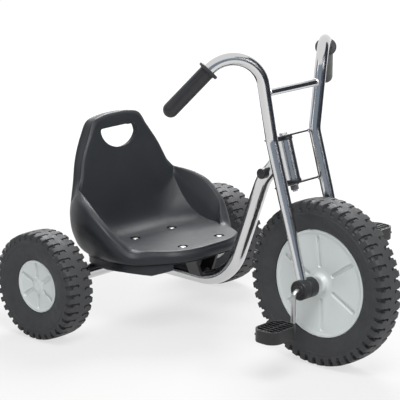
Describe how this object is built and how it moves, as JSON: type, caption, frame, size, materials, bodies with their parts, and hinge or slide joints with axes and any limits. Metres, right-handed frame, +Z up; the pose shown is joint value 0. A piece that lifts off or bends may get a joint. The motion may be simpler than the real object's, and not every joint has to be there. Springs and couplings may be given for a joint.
{
  "type": "pedal tricycle",
  "caption": "Child's pedal tricycle with a bent chromed tube frame, a moulded bucket seat with a handle hole, a large pedalled front wheel and small rear wheels.",
  "frame": {"origin": "on the floor, in the middle of the tricycle's length and width", "axes": "+X forward, the way the tricycle rides; +Y to the rider's left; +Z up"},
  "size_m": [0.8896, 0.6616, 0.6937],
  "materials": {
    "satin_chrome": "satin",
    "zinc_steel": "satin",
    "tyre_rubber": "matte",
    "grey_plastic": "satin",
    "black_plastic": "matte",
    "black_paint": "satin",
    "black_rubber": "matte"
  },
  "bodies": {
    "frame": {"main_tube": "satin_chrome", "rear_axle_tube": "satin_chrome", "rear_axle": "zinc_steel", "axle_plug_right": "black_plastic", "axle_plug_left": "black_plastic", "head_tube": "satin_chrome", "head_bush_lower": "black_plastic", "head_bush_upper": "black_plastic", "stop_buffer_right": "black_rubber", "stop_buffer_left": "black_rubber", "buffer_screw_right": "zinc_steel", "buffer_screw_left": "zinc_steel", "seat_bracket_rear": "black_paint", "seat_bracket_front": "black_paint", "seat_bolt_1": "zinc_steel", "seat_bolt_2": "zinc_steel", "seat_bolt_3": "zinc_steel", "seat_bolt_4": "zinc_steel", "seat_nut_1": "zinc_steel", "seat_nut_2": "zinc_steel", "seat_nut_3": "zinc_steel", "seat_nut_4": "zinc_steel", "seat_shell": "black_plastic", "seat_skirt": "black_plastic"},
    "fork": {"fork_tube_right": "satin_chrome", "fork_tube_left": "satin_chrome", "steering_plate_lower": "satin_chrome", "steering_plate_upper": "satin_chrome", "cross_bar": "satin_chrome", "steering_bolt": "zinc_steel", "steering_washer": "zinc_steel", "steering_nut": "zinc_steel", "axle_housing_right": "zinc_steel", "axle_housing_left": "zinc_steel", "axle_bush_right": "black_plastic", "axle_bush_left": "black_plastic", "bearing_cover_right": "black_plastic", "bearing_cover_left": "black_plastic", "grip_right": "black_rubber", "grip_left": "black_rubber"},
    "front_wheel": {"front_tyre": "tyre_rubber", "front_wheel_half_right": "grey_plastic", "front_wheel_half_left": "grey_plastic", "crankshaft": "zinc_steel", "drive_pin": "zinc_steel"},
    "rear_wheel_right": {"rear_tyre_right": "tyre_rubber", "rear_wheel_inner_right": "grey_plastic", "rear_wheel_outer_right": "grey_plastic", "rear_bush_right": "black_plastic", "axle_clip_right": "zinc_steel"},
    "pedal_right": {"pedal_right": "black_plastic", "pedal_cap_right": "black_plastic"},
    "rear_wheel_left": {"rear_tyre_left": "tyre_rubber", "rear_wheel_inner_left": "grey_plastic", "rear_wheel_outer_left": "grey_plastic", "rear_bush_left": "black_plastic", "axle_clip_left": "zinc_steel"},
    "pedal_left": {"pedal_left": "black_plastic", "pedal_cap_left": "black_plastic"}
  },
  "joints": [
    {"name": "steering", "type": "hinge", "parent": "frame", "child": "fork", "pos_m": [0.16781, 0, 0.39092], "axis": [-0.289, 0, 0.9573], "range_deg": [-75.5, 75.5]},
    {"name": "front_wheel_spin", "type": "hinge", "parent": "fork", "child": "front_wheel", "pos_m": [0.25975, 0, 0.185], "axis": [0, 1, 0], "continuous": true},
    {"name": "pedal_right_spin", "type": "hinge", "parent": "front_wheel", "child": "pedal_right", "pos_m": [0.25975, -0.166, 0.109], "axis": [0, 1, 0], "continuous": true},
    {"name": "pedal_left_spin", "type": "hinge", "parent": "front_wheel", "child": "pedal_left", "pos_m": [0.25975, 0.166, 0.261], "axis": [0, 1, 0], "continuous": true},
    {"name": "rear_wheel_right_spin", "type": "hinge", "parent": "frame", "child": "rear_wheel_right", "pos_m": [-0.32025, -0.2933, 0.1245], "axis": [0, 1, 0], "continuous": true},
    {"name": "rear_wheel_left_spin", "type": "hinge", "parent": "frame", "child": "rear_wheel_left", "pos_m": [-0.32025, 0.2933, 0.1245], "axis": [0, 1, 0], "continuous": true}
  ]
}
